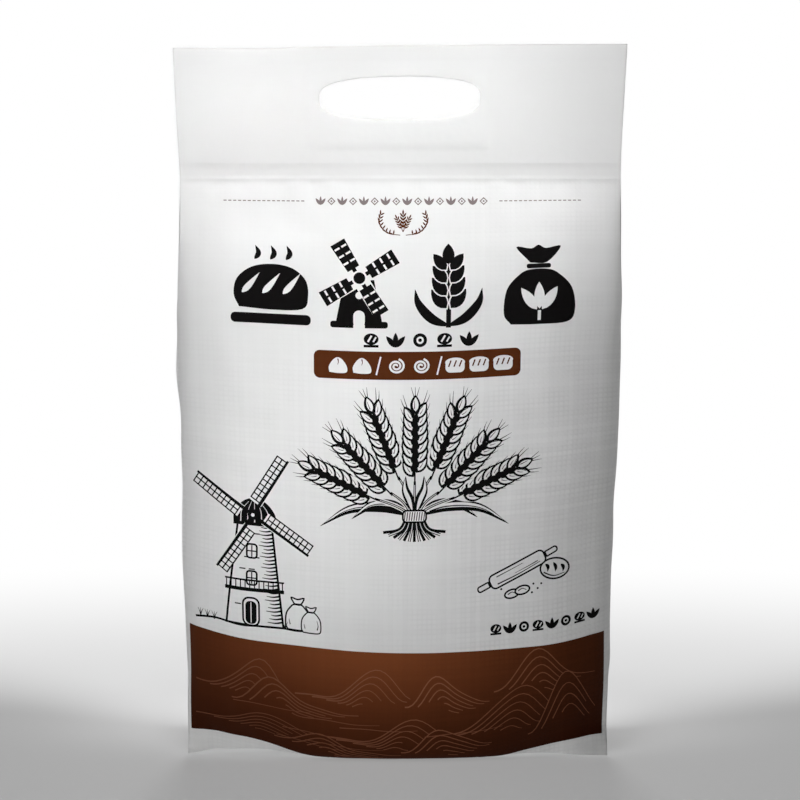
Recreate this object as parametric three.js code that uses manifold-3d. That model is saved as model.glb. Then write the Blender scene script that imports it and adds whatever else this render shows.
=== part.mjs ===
// A filled 2.5 kg flour bag of woven plastic, standing upright.
// It is one welded tube with a folded gusset down each side: a stuffed body, closed by a weld
// across its shoulders, and above the weld a flat band with a hand hole through it.
// Millimetres, +Z up. The front faces -Y, and the origin is on the floor under the middle of the bag.
import * as THREE from "three";
import { mergeVertices } from "three/addons/utils/BufferGeometryUtils.js";
import Module from "manifold-3d";

// Driving dimensions
const HEIGHT = 391; // floor to the top edge of the hand band
const WELD_HEIGHT = 317; // floor to the weld between body and band
const TOP_WIDTH = 250; // the tube laid flat, which is how the band's top edge shows it
const WELD_WIDTH = 241.5;
const FOOT_WIDTH = 229; // between the two ears on the floor
const BELLY_DEPTH = 84; // front to back through the middle of the filled body
const SIDE_DEPTH = 54; // front fold to back fold, with the gusset open
const GUSSET = 60; // width of the folded panel down each side
const LAYERS_THICK = 1.4; // the welded layers of the band, and of the ears
const FOOT_DEPTH = 46; // front to back of the flat patch that the bag stands on
const BELLY_ROUNDING = 38; // height over which the belly turns under to that patch
const EAR_HEIGHT = 58; // height over which the side closes to the ear on the floor
const GUSSET_SWELL = 3.5; // how far each half of the open gusset stands out past the fold edges
const EAR_ARCH = 4; // the foot's edge lifts this far off the floor between belly and ear
const BAND_BOW = 5; // the band's middle stands this far forward of its sides
const SHOULDER_DROP = 160; // below the weld, where the belly has its full depth
const SIDE_DROP = 135; // below the weld, where the gusset is fully open
const HOLE_WIDTH = 87.5;
const HOLE_HEIGHT = 23.5;
const HOLE_CENTRE_HEIGHT = 362;

// How finely the surface is divided: across a panel, across a gusset, and up the bag
const COLUMNS = 30;
const GUSSET_COLUMNS = 8;
const ROWS = 48;
const HOLE_SIDES = 40;

const lerp = THREE.MathUtils.lerp;
const smoothstep = THREE.MathUtils.smoothstep;

// 0 to 1 along a quarter of a round: it leaves 0 steeply and comes to 1 level.
const roundUp = (t) => Math.sqrt(1 - (1 - THREE.MathUtils.clamp(t, 0, 1)) ** 2);

// 0 to 1 along a quarter wave, which leaves 0 at a slope and comes to 1 level.
const swellUp = (t) => Math.sin((Math.PI / 2) * THREE.MathUtils.clamp(t, 0, 1));

// Half the front-to-back depth at the middle of the panels.
function bellyHalf(z) {
  const overFoot = lerp(FOOT_DEPTH / 2, BELLY_DEPTH / 2, roundUp(z / BELLY_ROUNDING));
  const belowWeld = swellUp((WELD_HEIGHT - z) / SHOULDER_DROP) ** 1.1;
  return Math.max(overFoot * belowWeld, LAYERS_THICK / 2);
}

// Half the distance between the front and back fold edges.
function sideHalf(z) {
  const overEar = (SIDE_DEPTH / 2) * swellUp(z / EAR_HEIGHT) ** 1.3;
  const belowWeld = swellUp((WELD_HEIGHT - z) / SIDE_DROP) ** 1.1;
  return Math.max(overEar * belowWeld, LAYERS_THICK / 2);
}

// Half the width between the fold edges, or of the band.
function foldHalf(z) {
  if (z >= WELD_HEIGHT) {
    const t = (z - WELD_HEIGHT) / (HEIGHT - WELD_HEIGHT);
    return lerp(WELD_WIDTH, TOP_WIDTH, t ** 1.2) / 2;
  }
  return lerp(FOOT_WIDTH, WELD_WIDTH, smoothstep(z, 40, WELD_HEIGHT)) / 2;
}

// How far a gusset's surface stands out from the line between its fold edges. across runs from -1 at the
// front fold to 1 at the back fold. The crease down the middle points in, deeper the less the gusset opens.
function gussetOut(across, half) {
  const openness = (2 * half) / SIDE_DEPTH;
  const slack = Math.sqrt((GUSSET / 2) ** 2 - half ** 2);
  const creaseDepth = slack * (1 - 0.5 * openness ** 2) * smoothstep(half, 2, 7);
  const swell = GUSSET_SWELL * openness ** 2 * Math.sin(Math.PI * across) ** 2;
  return swell - creaseDepth * (1 - Math.abs(across)) ** (1 + openness);
}

// Rows lie closer together where the bag turns, at the foot and under the weld, and wider in the band.
function rowHeight(t) {
  const bandRows = 5 / ROWS;
  if (t > 1 - bandRows) return lerp(WELD_HEIGHT, HEIGHT, (t - 1 + bandRows) / bandRows);
  const u = t / (1 - bandRows);
  return WELD_HEIGHT * (u - 0.135 * Math.sin(2 * Math.PI * u));
}

// A point of the bag. across is -1 to 1 from left to right, through is -1 at the front to 1 at the back,
// and up is 0 to 1 from the floor to the band's top edge.
function bagPoint(across, through, up) {
  const z = rowHeight(up);
  const side = sideHalf(z);
  const half = side + (bellyHalf(z) - side) * (1 - Math.abs(across) ** 2.4);
  let x = across * foldHalf(z);
  const onGusset = Math.abs(across) > 0.999 && z > 0 && z < WELD_HEIGHT;
  if (onGusset) x += Math.sign(across) * gussetOut(through, side);
  const bandShare = smoothstep(z, WELD_HEIGHT - 60, HEIGHT);
  const y = through * half - BAND_BOW * bandShare * Math.cos((Math.PI / 2) * across);
  const betweenBellyAndEar = Math.exp(-(((Math.abs(across) - 0.8) / 0.11) ** 2));
  const arch = EAR_ARCH * betweenBellyAndEar * (1 - smoothstep(z, 0, 30));
  return new THREE.Vector3(x, y, z + arch);
}

function bagGeometry() {
  const geometry = new THREE.BoxGeometry(2, 2, 1, COLUMNS, GUSSET_COLUMNS, ROWS);
  const position = geometry.getAttribute("position");
  for (let i = 0; i < position.count; i++) {
    const point = bagPoint(position.getX(i), position.getY(i), position.getZ(i) + 0.5);
    position.setXYZ(i, point.x, point.y, point.z);
  }
  return geometry;
}

// The hand hole's outline is flatter along its long sides than an ellipse.
function holeGeometry() {
  const outline = [];
  for (let i = 0; i < HOLE_SIDES; i++) {
    const angle = (2 * Math.PI * i) / HOLE_SIDES;
    const c = Math.cos(angle);
    const s = Math.sin(angle);
    const x = (HOLE_WIDTH / 2) * Math.sign(c) * Math.abs(c) ** (2 / 2.3);
    const z = (HOLE_HEIGHT / 2) * Math.sign(s) * Math.abs(s) ** (2 / 3);
    outline.push(new THREE.Vector2(x, z));
  }
  const depth = 4 * BAND_BOW;
  return new THREE.ExtrudeGeometry(new THREE.Shape(outline), { depth, bevelEnabled: false })
    .translate(0, 0, -depth / 2)
    .rotateX(Math.PI / 2)
    .translate(0, 0, HOLE_CENTRE_HEIGHT);
}

const wasm = await Module();
wasm.setup();

function toSolid(geometry) {
  const bare = new THREE.BufferGeometry()
    .setAttribute("position", geometry.getAttribute("position"))
    .setIndex(geometry.index);
  const merged = mergeVertices(bare, 1e-3);
  return new wasm.Manifold(
    new wasm.Mesh({
      numProp: 3,
      vertProperties: merged.getAttribute("position").array,
      triVerts: new Uint32Array(merged.index.array),
    }),
  );
}

function toGeometry(solid) {
  const mesh = solid.getMesh();
  const geometry = new THREE.BufferGeometry()
    .setAttribute("position", new THREE.BufferAttribute(mesh.vertProperties, 3))
    .setIndex(new THREE.BufferAttribute(mesh.triVerts, 1));
  geometry.computeVertexNormals();
  return geometry;
}

const wovenFilm = new THREE.MeshStandardMaterial({ color: 0xe6e6e4, roughness: 0.55, metalness: 0 });
const bagWithHole = toSolid(bagGeometry()).subtract(toSolid(holeGeometry()));
const bag = new THREE.Mesh(toGeometry(bagWithHole), wovenFilm);
bag.name = "bag";

const flourBag = new THREE.Group();
flourBag.add(bag);
export default flourBag;
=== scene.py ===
"""A filled flour bag of white woven film, standing upright, with its print and its studio.

The bag is one tube of fabric. A place on it is given as the fabric lies flat: x across a panel from its
middle, and v up the fabric from the seam under the foot. panel_surface() and gusset_surface() bend that
flat fabric into the filled bag, and everything printed is drawn flat and laid on the same surface.
"""
import math
import bpy
import numpy as np
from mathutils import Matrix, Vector, geometry


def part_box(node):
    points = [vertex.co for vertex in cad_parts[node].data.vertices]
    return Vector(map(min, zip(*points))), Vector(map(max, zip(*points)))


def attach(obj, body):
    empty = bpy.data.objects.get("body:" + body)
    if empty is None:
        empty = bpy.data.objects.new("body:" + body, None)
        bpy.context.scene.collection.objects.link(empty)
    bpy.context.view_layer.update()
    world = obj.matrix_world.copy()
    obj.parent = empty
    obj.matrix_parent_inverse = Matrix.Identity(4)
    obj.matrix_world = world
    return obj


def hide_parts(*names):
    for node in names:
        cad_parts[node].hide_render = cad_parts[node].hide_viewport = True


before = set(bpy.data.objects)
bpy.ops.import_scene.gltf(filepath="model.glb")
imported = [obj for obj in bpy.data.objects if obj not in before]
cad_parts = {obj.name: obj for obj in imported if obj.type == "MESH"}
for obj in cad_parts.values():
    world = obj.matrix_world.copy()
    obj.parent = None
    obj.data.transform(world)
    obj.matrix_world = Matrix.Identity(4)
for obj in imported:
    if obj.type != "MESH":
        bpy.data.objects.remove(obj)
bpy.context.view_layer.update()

# ---------------------------------------------------------------- sizes, in metres
LOW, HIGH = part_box("bag")
TOP_WIDTH = HIGH.x - LOW.x
BELLY_DEPTH = HIGH.y - LOW.y
HEIGHT = HIGH.z
BAND_HEIGHT = 0.0728  # the flat hand band, from the weld up
WELD_Z = HEIGHT - BAND_HEIGHT
WELD_WIDTH = 0.2430
FOOT_WIDTH = 0.232
SIDE_DEPTH = 0.054
GUSSET = 0.060
FOOT_DEPTH = 0.046
BELLY_ROUNDING = 0.050
EDGE_REACH = 0.046  # width over which a filled panel rounds off towards its fold
EDGE_TURN = math.radians(50)  # and how far it has turned at the fold
FOLD_REACH = 0.007  # width over which it rounds off once more, right at the fold
FOLD_TURN = math.radians(50)
PANEL_FULLNESS = 1.36  # a panel near its folds, over what the fold would be without that rounding
CROWN, FOOT_CROWN = 2.2, 1.9  # powers of a panel's bulge, seen from above: it is peaked at the foot
EAR_HEIGHT = 0.058
GUSSET_SWELL = 0.0052
# How full the gussets are, and by how much that changes, at what height, over what reach.
GUSSET_FULLNESS = 0.86
GUSSET_BULGES = ((0.85, 0.270, 0.042), (-0.30, 0.190, 0.038), (-0.45, 0.070, 0.060))
SHOULDER_DROP = 0.160
SIDE_DROP = 0.135
LEFT_DROP, RIGHT_DROP = 0.122, 0.108  # over which each fold parts from the other panel's, below the weld
LEFT_ROUNDING, RIGHT_ROUNDING = 1.5, 0.9  # powers: the right edge is rounded from higher up
BAND_BOW = 0.005
SHEETS = 0.0011  # thickness of the welded sheets
PANEL_HALF = 0.120  # half a panel, laid flat
BODY_LENGTH = 0.335  # fabric from the seam under the foot to the weld
TOP_V = BODY_LENGTH + BAND_HEIGHT
HOLE_WIDTH = 0.0860
HOLE_HEIGHT = 0.0235
HOLE_V = BODY_LENGTH + 0.044
PATCH_HALF = 0.048  # the stiffening patch round the hand hole
PATCH_LOW = BODY_LENGTH + 0.017
PATCH_HIGH = BODY_LENGTH + 0.0625
WELD_BAR = 0.008  # height of the welded strip
STEP = 0.0007  # over which one thickness of the band passes into the next
GROOVE = 0.0004  # between the two sheets, along the top
HEM = 0.0085
TAPE = 0.00272  # width of one woven tape
LUMPS, SMALL_LUMPS, CORNER_LUMPS = 0.0011, 0.00035, 0.0010  # how far each kind of unevenness stands out
PUCKERS, CRUMPLES, WAVY_EDGE, WAVY_BAND = 0.00045, 0.0007, 0.0005, 0.0012
WELD_PRESS, BEAD, HEM_RISE, PATCH_RISE, PLEAT_RISE = -0.00014, 0.00016, 0.00012, 0.00018, 0.00015
PRINT_LIFT = 0.00009  # how far the printed sheets lie off the film
PRINT_RISE = 0.100  # factor of the fabric's shift up its path, low down in a panel's middle


# ---------------------------------------------------------------- small tools
def smooth(t, low=0.0, high=1.0):
    t = np.clip((np.asarray(t, float) - low) / (high - low), 0, 1)
    return t * t * (3 - 2 * t)


def swell_up(t):
    """0 to 1 along a quarter wave, which leaves 0 at a slope and comes to 1 level."""
    return np.sin(np.pi / 2 * np.clip(t, 0, 1))


def round_up(t):
    """0 to 1 along a quarter of a round: it leaves 0 steeply and comes to 1 level."""
    return np.sqrt(1 - (1 - np.clip(t, 0, 1)) ** 2)


def lerp(a, b, t):
    return a + (b - a) * t


def bump_at(t, centre, reach):
    return np.exp(-(((t - centre) / reach) ** 2))


class Waves:
    """Smooth seeded unevenness: a sum of plane waves, about -1 to 1."""

    def __init__(self, seed, wavelength, spread=0.5, count=14, stretch=(1.0, 1.0)):
        draw = np.random.default_rng(seed)
        angle = draw.uniform(0, np.pi, count)
        length = wavelength * np.exp(draw.uniform(-spread, spread, count))
        self.kx = 2 * np.pi * np.cos(angle) / length / stretch[0]
        self.kv = 2 * np.pi * np.sin(angle) / length / stretch[1]
        self.phase = draw.uniform(0, 2 * np.pi, count)
        self.scale = 1.6 / math.sqrt(2 * count)

    def __call__(self, x, v):
        x, v = np.broadcast_arrays(np.asarray(x, float), np.asarray(v, float))
        waves = np.sin(x[..., None] * self.kx + v[..., None] * self.kv + self.phase)
        return waves.sum(-1) * self.scale


# ---------------------------------------------------------------- the bag's form
def belly_half(z):
    over_foot = lerp(FOOT_DEPTH / 2, BELLY_DEPTH / 2, round_up(z / BELLY_ROUNDING))
    return np.maximum(over_foot * swell_up((WELD_Z - z) / SHOULDER_DROP) ** 1.1, SHEETS / 2)


def side_half(z, drop=SIDE_DROP):
    over_ear = SIDE_DEPTH / 2 * swell_up(z / EAR_HEIGHT) ** 1.3
    return np.maximum(over_ear * swell_up((WELD_Z - z) / drop) ** 1.1, SHEETS / 2)


def fold_half(z):
    body = lerp(FOOT_WIDTH, WELD_WIDTH, smooth(z, 0.040, WELD_Z))
    band = lerp(WELD_WIDTH, TOP_WIDTH, np.clip((z - WELD_Z) / BAND_HEIGHT, 0, 1.05) ** 1.15)
    return np.where(z < WELD_Z, body, band) / 2


def gusset_out(through, half, z):
    """How far a gusset stands out from the line between its folds, which lie at through -1 and 1."""
    openness = 2 * half / SIDE_DEPTH
    slack = np.sqrt((GUSSET / 2) ** 2 - half**2)
    crease = slack * (1 - 0.5 * openness**2) * smooth(half, 0.002, 0.007)
    bulges = [much * bump_at(z, height, reach) for much, height, reach in GUSSET_BULGES]
    fullest = sum(bulges, GUSSET_FULLNESS)
    swell = GUSSET_SWELL * fullest * openness**2 * np.sin(np.pi * through) ** 2
    return swell - crease * (1 - np.abs(through)) ** (1 + openness)


def edge_drop(a, reach, turn):
    """How far a panel has rounded off at a share of its half width, within reach of the fold."""
    share = reach / PANEL_HALF
    t = np.clip((a - 1 + share) / share, 0, 1) * math.sin(turn)
    return reach / math.sin(turn) * (1 - np.sqrt(1 - t * t))


def column_path(u):
    """One column of fabric from foot seam to weld: lengths, depths and heights. u is -1 at the left fold,
    0 at the middle of the panel and 1 at the right fold."""
    a = abs(u)
    drop, rounding = (LEFT_DROP, LEFT_ROUNDING) if u < 0 else (RIGHT_DROP, RIGHT_ROUNDING)
    z = WELD_Z * (1 - np.cos(np.linspace(0, np.pi, 500))) / 2
    side = side_half(z, drop)
    crown = (1 - a**CROWN) ** lerp(FOOT_CROWN, 1.0, swell_up(z / 0.070))
    openness = 2 * side / SIDE_DEPTH
    side = side * PANEL_FULLNESS
    half = side + (belly_half(z) - side) * crown
    half = half - edge_drop(a, EDGE_REACH, EDGE_TURN) * openness**rounding
    half = half - edge_drop(a, FOLD_REACH, FOLD_TURN) * openness**0.6
    half = np.maximum(half, SHEETS / 2)
    seam = np.linspace(SHEETS / 2, half[0], 24)[:-1]
    depth = np.concatenate([seam, half])
    height = np.concatenate([np.zeros(len(seam)), z])
    length = path_length(depth, height)
    even = np.linspace(0, length[-1], 1400)
    depth, height = (rounded(np.interp(even, length, values)) for values in (depth, height))
    return path_length(depth, height), depth, height


def path_length(depth, height):
    return np.concatenate([[0], np.cumsum(np.hypot(np.diff(depth), np.diff(height)))])


def rounded(values, reach=9):
    """Values along a path, with its corners rounded over a few samples."""
    weights = np.hanning(2 * reach + 3)[1:-1]
    padded = np.pad(values, reach, mode="reflect", reflect_type="odd")
    return np.convolve(padded, weights / weights.sum(), "valid")


def column(u, v):
    """Depth and height of the fabric at heights v up one column of a panel."""
    length, depth, height = column_path(u)
    share = np.clip(v / BODY_LENGTH, 0, 1)
    along = share * length[-1] + PRINT_RISE * (1 - u**2) * share * (1 - share) ** 4
    y = np.interp(along, length, depth)
    z = np.interp(along, length, height) + np.maximum(v - BODY_LENGTH, 0)
    return y, z


def panel_nodes():
    """Where the columns of a panel lie, as a share of its half width: closer near the folds."""
    t = np.linspace(-1, 1, 93)
    even = lerp(t, np.sin(np.pi / 2 * t), 0.7)
    patch = PATCH_HALF / PANEL_HALF
    step = STEP / PANEL_HALF
    fixed = np.array([-patch - step, -patch, patch, patch + step])
    keep = np.abs(even[:, None] - fixed).min(1) > 0.0013 / PANEL_HALF
    return np.sort(np.concatenate([even[keep], fixed]))


def row_nodes():
    """Where the rows lie up the fabric: closer at the foot, the weld, the hem and the patch."""
    t = np.linspace(0, 1, 124)
    body = BODY_LENGTH * (t - 0.115 * np.sin(2 * np.pi * t))
    weld = BODY_LENGTH + np.array([0.0006, 0.0013, 0.0022, 0.0045])
    bar = BODY_LENGTH + WELD_BAR + np.array([-STEP, 0.0, 0.0008])
    below_patch = np.linspace(BODY_LENGTH + WELD_BAR + 0.003, PATCH_LOW - 0.0028, 3)
    patch = np.linspace(PATCH_LOW, PATCH_HIGH, 19)
    hem = TOP_V - np.array([HEM - 0.0002, HEM - 0.0010, 0.0045, 0.0015, 0.0005, 0.0])
    return np.concatenate([body, weld, bar, below_patch, [PATCH_LOW - STEP], patch, hem])


U = panel_nodes()
V = row_nodes()
THROUGH = np.sin(np.pi / 2 * np.linspace(-1, 1, 25)) * 0.35 + np.linspace(-1, 1, 25) * 0.65


def band_bow(u, z):
    return -BAND_BOW * smooth(z, WELD_Z - 0.060, HEIGHT) * np.cos(np.pi / 2 * u)


def foot_lift(u, z):
    """The foot's edge lifts off the floor between the belly and each ear."""
    left = 0.0030 * bump_at(u, -0.66, 0.20) + 0.0012 * bump_at(u, -0.87, 0.07)
    right = 0.0008 * bump_at(u, 0.62, 0.12)
    return (left + right) * (1 - smooth(z, 0, 0.030))


def ear_flare(u, z):
    """The welded end of each ear is bent forward."""
    left = 0.0070 * smooth(-u, 0.86, 1.0) * np.clip(1 - z / 0.010, 0, 1) ** 1.5
    right = 0.0130 * smooth(u, 0.72, 0.90) * np.clip(1 - z / 0.017, 0, 1) ** 1.3
    return -left - right


lumps = Waves(11, 0.085)
small_lumps = Waves(12, 0.034)
band_waves = Waves(13, 0.11, stretch=(1.0, 1.6))
edge_waves = Waves(14, 0.11, spread=0.3)
gusset_crumples = Waves(15, 0.055, stretch=(1.0, 0.9))
pucker_waves = Waves(16, 0.016, spread=0.35, stretch=(1.0, 6.0))


def emboss(x, v):
    """Relief of the hand band: welded strip, hem, stiffening patch and folded gusset."""
    band = v - BODY_LENGTH
    weld = WELD_PRESS * smooth(band, 0.0, 0.0012) * (1 - smooth(band, WELD_BAR - STEP, WELD_BAR))
    bead = BEAD * bump_at(band, 0.0, 0.0012)
    hem = HEM_RISE * smooth(v, TOP_V - HEM, TOP_V - HEM + 0.0008)
    beside = smooth(np.abs(x), PATCH_HALF, PATCH_HALF + STEP)
    inside = (1 - beside) * smooth(v, PATCH_LOW - STEP, PATCH_LOW)
    patch = PATCH_RISE * inside * (1 - smooth(v, PATCH_HIGH, PATCH_HIGH + 0.0004))
    fold = PANEL_HALF - GUSSET / 2
    pleat = PLEAT_RISE * smooth(np.abs(x), fold - 0.001, fold + 0.001)
    return weld + bead + hem + patch + pleat * smooth(band, 0, 0.002)


def relief(x, v, seed):
    """How far the fabric of a panel stands out from the smooth form."""
    shift = 0.37 * seed
    body = smooth(v, 0.02, 0.06) * (1 - smooth(v, BODY_LENGTH - 0.030, BODY_LENGTH))
    below = BODY_LENGTH - v
    puckers = np.exp(-np.clip(below, 0, None) / 0.018) * smooth(below, -0.0005, 0.004)
    out = LUMPS * lumps(x + shift, v) * body + SMALL_LUMPS * small_lumps(x + shift, v) * body
    out = out + PUCKERS * pucker_waves(x + shift, v) * puckers
    corner = bump_at(v, 0.035, 0.030) * smooth(np.abs(x), 0.060, 0.105)
    return out + CORNER_LUMPS * small_lumps(1.7 * x + shift, v - 0.6 * np.abs(x)) * corner


def panel_surface(face):
    """Points of the front (face -1) or back (face 1) panel, as [column, row, xyz]."""
    points = np.zeros((len(U), len(V), 3))
    for i, u in enumerate(U):
        y, z = column(u, V)
        out = relief(u * PANEL_HALF, V, face) * (1 - abs(u) ** 6) + emboss(u * PANEL_HALF, V)
        points[i, :, 1] = face * (y + out)
        points[i, :, 2] = z
        points[i, :, 0] = u * (fold_half(z) + side_waviness(np.sign(u), V))
    return shared_bends(points, U[:, None])


def side_waviness(side, v):
    body = smooth(v, 0.02, 0.06) * (1 - smooth(v, BODY_LENGTH - 0.02, TOP_V))
    knee = 0.0015 * (1 + 0.4 * side) * bump_at(v, 0.262, 0.022)
    return WAVY_EDGE * edge_waves(side, v) * body + knee


def shared_bends(points, u):
    """Bends that move both panels alike."""
    x, y, z = points[..., 0], points[..., 1], points[..., 2]
    wave = smooth(z, WELD_Z, HEIGHT) * WAVY_BAND * band_waves(x, z)
    y = y + band_bow(u, z) + wave + ear_flare(u, z)
    tilt = 0.0010 * u - 0.0009 * bump_at(u, -0.62, 0.30)
    lifted = z + foot_lift(u, z) + tilt * smooth(z, WELD_Z, HEIGHT)
    lean = 0.0007 * (2 * z / HEIGHT - 1)
    return np.stack([x + lean, y, lifted], -1)


def gusset_surface(side):
    """Points of the left (side -1) or right (side 1) gusset from its front fold to its back fold."""
    y, z = column(float(side), V)
    edge = side * (fold_half(z) + side_waviness(side, V))
    points = np.zeros((len(THROUGH), len(V), 3))
    body = smooth(z, 0.004, 0.03) * (1 - smooth(z, WELD_Z - 0.03, WELD_Z - 0.002))
    for i, through in enumerate(THROUGH):
        out = np.where((z > 0) & (z < WELD_Z), gusset_out(through, side_half(z), z), 0)
        crumple = CRUMPLES * gusset_crumples(0.03 * through + side, V) * body * (1 - through**2)
        points[i, :, 0] = edge + side * (out + crumple)
        points[i, :, 1] = through * (y + emboss(PANEL_HALF, V))
        points[i, :, 2] = z
    return shared_bends(points, np.full((len(THROUGH), 1), float(side)))


FRONT = panel_surface(-1)
BACK = panel_surface(1)
LEFT = gusset_surface(-1)
RIGHT = gusset_surface(1)


# ---------------------------------------------------------------- laying flat drawings on the bag
def lay(points, face, lift):
    """Places of flat points [n, (x, v)] on a panel, a hair off it, and more where it turns at the foot."""
    grid = FRONT if face < 0 else BACK
    u = np.clip(points[:, 0] / PANEL_HALF, -1, 1) * (-face)
    i = np.clip(np.searchsorted(U, u) - 1, 0, len(U) - 2)
    j = np.clip(np.searchsorted(V, points[:, 1]) - 1, 0, len(V) - 2)
    s = ((u - U[i]) / (U[i + 1] - U[i]))[:, None]
    t = ((points[:, 1] - V[j]) / (V[j + 1] - V[j]))[:, None]
    low = lerp(grid[i, j], grid[i + 1, j], s)
    high = lerp(grid[i, j + 1], grid[i + 1, j + 1], s)
    across = lerp(grid[i + 1, j] - grid[i, j], grid[i + 1, j + 1] - grid[i, j + 1], t)
    normal = np.cross(across, high - low) * (-face)
    normal /= np.linalg.norm(normal, axis=1, keepdims=True)
    return lerp(low, high, t) + lift * (1 + 3 * bump_at(points[:, 1:], 0, 0.028)) * normal


def placed(name, data, place=(0, 0, 0), facing=None):
    """A new object in the scene. facing is the way a lamp or a camera looks."""
    thing = bpy.data.objects.new(name, data)
    thing.location = place
    if facing is not None:
        thing.rotation_euler = facing.to_track_quat("-Z", "Y").to_euler()
    bpy.context.scene.collection.objects.link(thing)
    return thing


def mesh_piece(name, points, faces, flat, material):
    """A new smooth-shaded piece. flat gives each vertex's place on the fabric, for its weave."""
    mesh = bpy.data.meshes.new(name)
    mesh.from_pydata([tuple(p) for p in points], [], [tuple(int(i) for i in f) for f in faces])
    mesh.materials.append(material)
    mesh.shade_smooth()
    layer = mesh.uv_layers.new(name="flat")
    corners = np.zeros(len(mesh.loops), np.int32)
    mesh.loops.foreach_get("vertex_index", corners)
    layer.data.foreach_set("uv", np.asarray(flat, np.float32)[corners].ravel())
    mesh.validate()
    return placed(name, mesh)


# ---------------------------------------------------------------- materials
CRINKLE_DEPTH = 0.0004
WEAVE_DEPTH = 0.00006
TAPE_CROWN = 0.45  # power of a tape's round top: flat in the middle, steep at its edges
WARP_SEED, WEFT_SEED = 3.0, 47.0
UPRIGHT_SEAMS = 0.80  # depth of the seams between upright tapes, next to those between level ones
STREAKS, SEAMS, CLOUDS = 0.62, 0.90, 0.15  # how strongly tapes, seams and clouds change the tone
BAND_WEAVE = 0.14  # how much of the weave shows on the welded hand band
FILM_GLOSS, FILM_ROUGHNESS = 0.42, 0.46
INK_GLOSS, INK_ROUGHNESS = 0.03, 0.6


class Value:
    """A number that nodes work out. It is added and multiplied like a plain one."""

    def __init__(self, nodes, socket):
        self.nodes, self.socket = nodes, socket

    def __add__(self, other):
        return self.nodes.math("ADD", self, other)

    def __sub__(self, other):
        return self.nodes.math("SUBTRACT", self, other)

    def __mul__(self, other):
        return self.nodes.math("MULTIPLY", self, other)

    def __truediv__(self, other):
        return self.nodes.math("DIVIDE", self, other)


class Nodes:
    """A node tree, built with few words."""

    def __init__(self, owner, output="ShaderNodeOutputMaterial", shader="ShaderNodeBsdfPrincipled"):
        owner.use_nodes = True
        self.owner, self.tree = owner, owner.node_tree
        self.tree.nodes.clear()
        self.shader = self.add(shader)
        self.output = self.add(output, {"Surface": self.shader.outputs[0]})

    def add(self, kind, inputs=(), **settings):
        node = self.tree.nodes.new(kind)
        for key, value in settings.items():
            setattr(node, key, value)
        self.feed(node, inputs)
        return node

    def feed(self, node, inputs):
        """Sets a node's inputs: to plain values, or to what other nodes put out."""
        for key, value in dict(inputs).items():
            if isinstance(value, Value):
                value = value.socket
            if isinstance(value, bpy.types.NodeSocket):
                self.tree.links.new(value, node.inputs[key])
            else:
                node.inputs[key].default_value = value

    def math(self, operation, *values, clamp=False):
        node = self.add("ShaderNodeMath", enumerate(values), operation=operation, use_clamp=clamp)
        return Value(self, node.outputs[0])

    def vector(self, operation, *vectors):
        return self.add("ShaderNodeVectorMath", enumerate(vectors), operation=operation).outputs

    def parts(self, vector):
        return [Value(self, part) for part in self.add("ShaderNodeSeparateXYZ", {0: vector}).outputs]

    def flat(self):
        """The place on the flat fabric."""
        return self.add("ShaderNodeUVMap", uv_map="flat").outputs[0]

    def between(self, value, source, target):
        """A smooth change of a value's meaning, from one range to another."""
        inputs = zip(("Value", "From Min", "From Max", "To Min", "To Max"), (value, *source, *target))
        node = self.add("ShaderNodeMapRange", inputs, interpolation_type="SMOOTHSTEP")
        return Value(self, node.outputs[0])

    def noise(self, vector, scale, detail=2.0, rough=0.5):
        inputs = {"Vector": vector, "Scale": scale, "Detail": detail, "Roughness": rough}
        return Value(self, self.add("ShaderNodeTexNoise", inputs).outputs["Fac"])

    def ramp(self, fac, stops):
        node = self.add("ShaderNodeValToRGB", {0: fac})
        for element, (place, colour) in zip(node.color_ramp.elements, stops):
            element.position = place
            element.color = (*colour, 1)
        return node.outputs[0]

    def bump(self, height, distance, **below):
        inputs = {"Strength": 1.0, "Distance": distance, "Height": height, **below}
        return self.add("ShaderNodeBump", inputs).outputs[0]


def weave(nodes, x, v):
    """The height, tones and gaps of the plain-woven tapes under the film."""
    across, up = x / TAPE, v / TAPE

    def crown(t):
        """0 at a tape's edges and 1 over its middle, flat-topped."""
        return nodes.math("POWER", nodes.math("ABSOLUTE", nodes.math("SINE", t * math.pi)), TAPE_CROWN)

    def over(t, other):
        """1 where the tape lies on top, 0 where it dives under."""
        turn = t + nodes.math("FLOOR", other)
        return nodes.math("COSINE", turn * math.pi) * 0.5 + 0.5

    def tone(t, seed):
        """One tape's own shade, 0 to 1."""
        inputs = {"W": nodes.math("FLOOR", t) + seed}
        noise = nodes.add("ShaderNodeTexWhiteNoise", inputs, noise_dimensions="1D")
        return Value(nodes, noise.outputs["Value"])

    warp = crown(across) * (over(up, across) + 0.6)
    weft = crown(up) * (over(across, up + 1.0) + 0.6)
    streaks = tone(across, WARP_SEED) * 0.5 + tone(up, WEFT_SEED) * 0.5
    gaps = (crown(across) * UPRIGHT_SEAMS + (1 - UPRIGHT_SEAMS)) * crown(up)
    return nodes.math("MAXIMUM", warp, weft) + streaks * 0.5, streaks, gaps


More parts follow.
